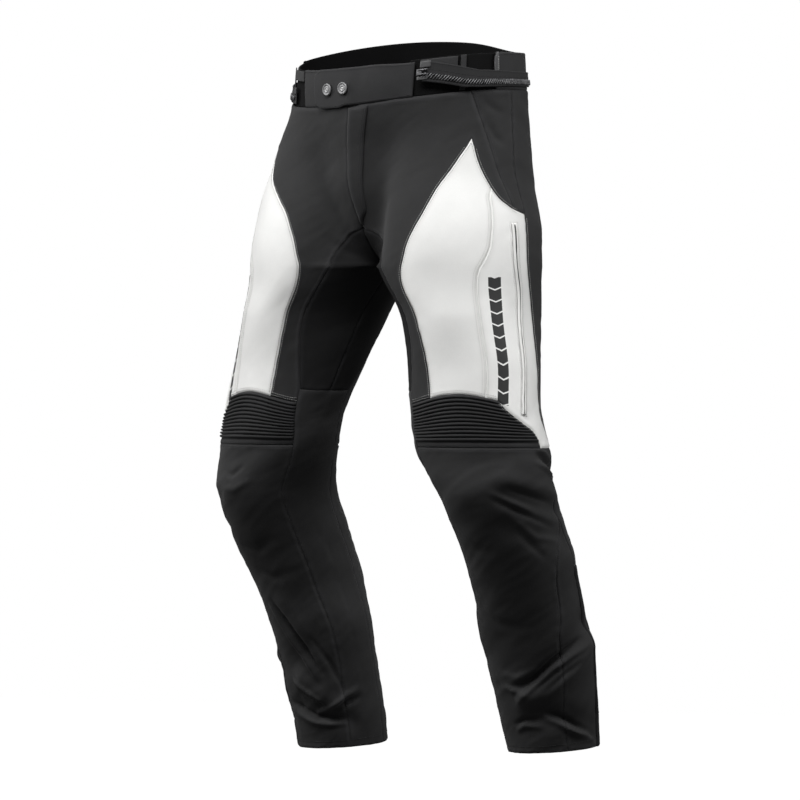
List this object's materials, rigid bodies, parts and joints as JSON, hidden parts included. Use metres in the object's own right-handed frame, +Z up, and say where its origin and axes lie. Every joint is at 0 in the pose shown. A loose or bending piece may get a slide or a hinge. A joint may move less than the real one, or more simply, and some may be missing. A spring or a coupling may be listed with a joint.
{
  "type": "motorcycle trousers",
  "caption": "Two-tone motorcycle trousers, empty and in worn shape, with ribbed stretch knees, cargo zips and a zip tape at the waist.",
  "frame": {"origin": "middle of the waist, level with the lower third of the waistband, where the trousers are held", "axes": "+Z up out of the waist, the front faces -Y, the wearer's left is +X"},
  "size_m": [0.5985, 0.3081, 1.0373],
  "materials": {
    "black_shell": "woven black polyester shell with a lining",
    "white_shell": "coated off-white polyester shell",
    "stretch_black": "elastic black stretch cloth",
    "zip_tape": "woven zip tape",
    "zip_plastic": "moulded zip teeth and box",
    "snap_metal": "dark nickel-plated press caps"
  },
  "bodies": {
    "root": {"adjuster_strap_left": "black_shell", "adjuster_strap_right": "black_shell", "back_panel_left": "black_shell", "back_panel_right": "black_shell", "band_back": "black_shell", "band_front_left": "black_shell", "band_front_right": "black_shell", "band_side_left": "stretch_black", "band_side_right": "stretch_black", "belt_loop_left": "black_shell", "belt_loop_right": "black_shell", "calf_back_left": "black_shell", "calf_back_right": "black_shell", "calf_outer_left": "black_shell", "calf_outer_right": "black_shell", "calf_zip_left": "zip_tape", "calf_zip_right": "zip_tape", "cargo_zip_left": "white_shell", "cargo_zip_right": "white_shell", "connection_zip_box": "zip_plastic", "connection_zip_chain": "zip_plastic", "connection_zip_tape": "zip_tape", "fly_flap": "black_shell", "front_panel_left": "black_shell", "front_panel_right": "black_shell", "hip_panel_left": "black_shell", "hip_panel_right": "black_shell", "inner_leg_left": "black_shell", "inner_leg_right": "black_shell", "inner_thigh_back_left": "stretch_black", "inner_thigh_back_right": "stretch_black", "inner_thigh_front_left": "stretch_black", "inner_thigh_front_right": "stretch_black", "knee_ribs_left": "stretch_black", "knee_ribs_right": "stretch_black", "shin_panel_left": "black_shell", "shin_panel_right": "black_shell", "side_panel_left": "white_shell", "side_panel_right": "white_shell", "snap_cap_inner": "snap_metal", "snap_cap_outer": "snap_metal", "thigh_panel_left": "white_shell", "thigh_panel_right": "white_shell"}
  },
  "joints": []
}
